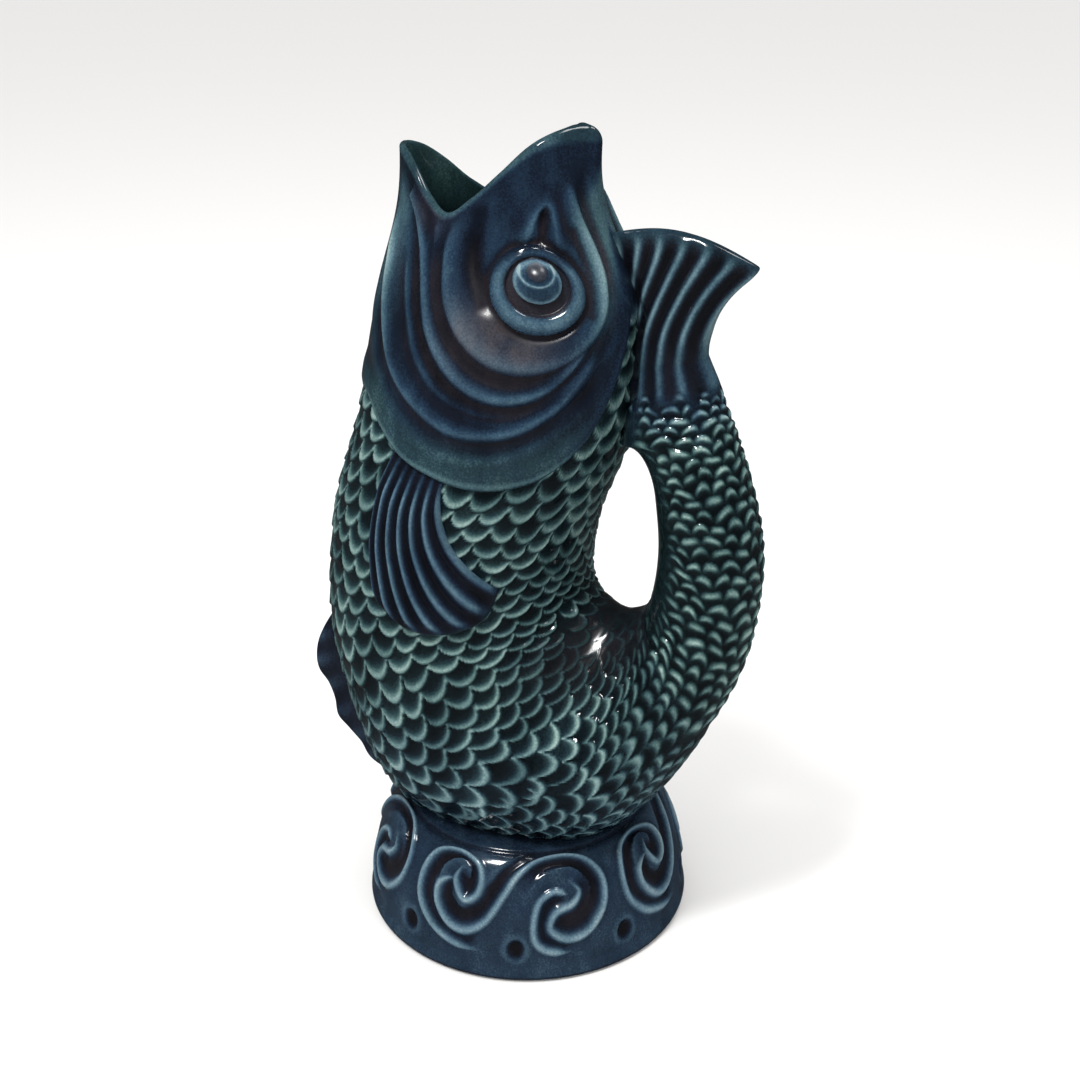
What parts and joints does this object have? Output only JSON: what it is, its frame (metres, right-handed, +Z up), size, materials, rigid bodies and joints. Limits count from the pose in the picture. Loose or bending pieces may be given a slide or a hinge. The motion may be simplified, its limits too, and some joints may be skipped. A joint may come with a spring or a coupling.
{
  "type": "gurgle jug",
  "caption": "Glazed pottery jug shaped as an upright fish on a round foot; the open mouth pours, the hollow tail bends up behind as the handle and gurgles.",
  "frame": {"origin": "centre of the foot's flat underside", "axes": "+Z up from the foot to the mouth, +X from the belly towards the tail handle, the fish's left side faces -Y; the XZ plane is the plane of symmetry"},
  "size_m": [0.1447, 0.107, 0.2547],
  "materials": {
    "blue_glaze": "glossy dark blue glaze, paler on the ridges",
    "green_glaze": "glossy dark green glaze, paler on the scale edges"
  },
  "bodies": {
    "root": {"foot": "blue_glaze", "body": "green_glaze", "head": "blue_glaze", "tail_handle": "green_glaze", "tail_fin": "blue_glaze", "left_side_fin": "blue_glaze", "right_side_fin": "blue_glaze", "left_belly_fin": "blue_glaze", "right_belly_fin": "blue_glaze", "left_eye": "blue_glaze", "right_eye": "blue_glaze"}
  },
  "joints": []
}
